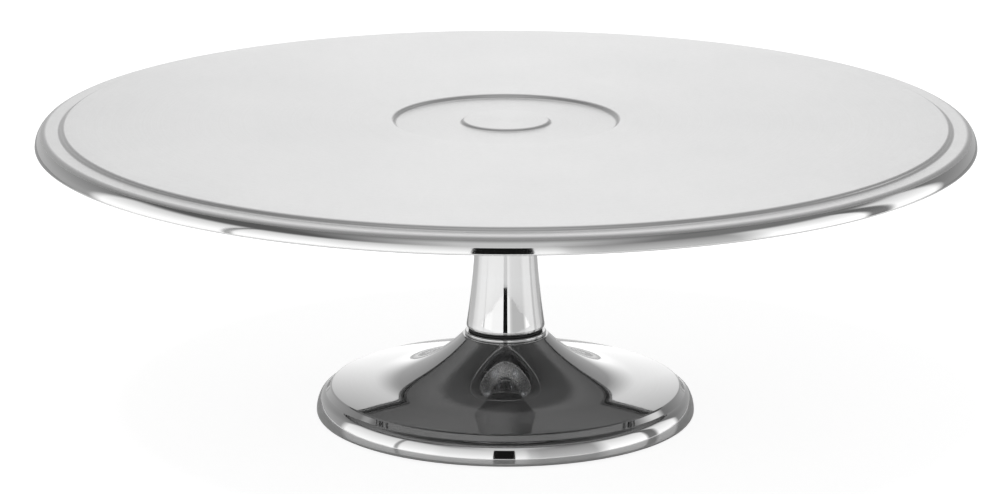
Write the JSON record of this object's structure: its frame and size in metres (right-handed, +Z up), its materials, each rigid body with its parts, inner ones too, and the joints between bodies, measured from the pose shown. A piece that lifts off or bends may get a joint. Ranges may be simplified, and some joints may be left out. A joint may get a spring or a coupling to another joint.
{
  "type": "cake turntable",
  "caption": "Low pedestal cake turntable: a round pressed-steel plate turning on a bearing stem over a bell-shaped weighted base.",
  "frame": {"origin": "on the table, under the middle of the stem, at the bottom of the rubber foot", "axes": "+Z up, along the axis that the plate turns about; +X and +Y are equivalent, because the outer shape is round"},
  "size_m": [0.31, 0.31, 0.1016],
  "materials": {
    "plate_steel": "satin stainless top with a polished land and rim",
    "polished_steel": "mirror-polished stainless",
    "machined_steel": "turned steel, fine turning marks",
    "fastener_steel": "bright zinc-plated steel",
    "spring_steel": "blackened spring steel",
    "bearing_steel": "ground and polished bearing steel",
    "cage_plastic": "moulded nylon",
    "collar_plastic": "satin black moulded plastic",
    "gasket_rubber": "black rubber",
    "cast_iron": "rough dark casting",
    "cover_paint": "dark powder-coated sheet",
    "foot_rubber": "black moulded rubber"
  },
  "bodies": {
    "pedestal": {"base_shell": "polished_steel", "base_weight": "cast_iron", "base_cover": "cover_paint", "cover_screws": "fastener_steel", "foot_ring": "foot_rubber", "tie_bolt": "fastener_steel", "tie_spring_washer": "spring_steel", "tie_washer": "fastener_steel", "neck_ring": "polished_steel", "stem_gasket": "gasket_rubber", "stem_plug": "machined_steel", "stem_column": "polished_steel", "outer_spacer": "machined_steel", "stem_circlip": "spring_steel", "upper_outer_race": "bearing_steel", "lower_outer_race": "bearing_steel", "upper_bearing_shields": "bearing_steel", "lower_bearing_shields": "bearing_steel"},
    "turntable": {"turntable_plate": "plate_steel", "hub_flange": "machined_steel", "hub_studs": "fastener_steel", "hub_washers": "fastener_steel", "hub_nuts": "fastener_steel", "neck_collar": "collar_plastic", "spindle": "machined_steel", "inner_spacer": "machined_steel", "spindle_washer": "fastener_steel", "spindle_circlip": "spring_steel", "upper_inner_race": "bearing_steel", "lower_inner_race": "bearing_steel"},
    "upper_rolling_set": {"upper_bearing_cage": "cage_plastic", "upper_bearing_balls": "bearing_steel"},
    "lower_rolling_set": {"lower_bearing_cage": "cage_plastic", "lower_bearing_balls": "bearing_steel"}
  },
  "joints": [
    {"name": "plate_spin", "type": "hinge", "parent": "pedestal", "child": "turntable", "pos_m": [0, 0, 0.0846], "axis": [0, 0, 1], "continuous": true},
    {"name": "upper_rolling_spin", "type": "hinge", "parent": "pedestal", "child": "upper_rolling_set", "pos_m": [0, 0, 0.0846], "axis": [0, 0, 1], "continuous": true},
    {"name": "lower_rolling_spin", "type": "hinge", "parent": "pedestal", "child": "lower_rolling_set", "pos_m": [0, 0, 0.0511], "axis": [0, 0, 1], "continuous": true}
  ],
  "couplings": [
    {"joint": "upper_rolling_spin", "follows": "plate_spin", "ratio": 0.41667},
    {"joint": "lower_rolling_spin", "follows": "plate_spin", "ratio": 0.41667}
  ]
}
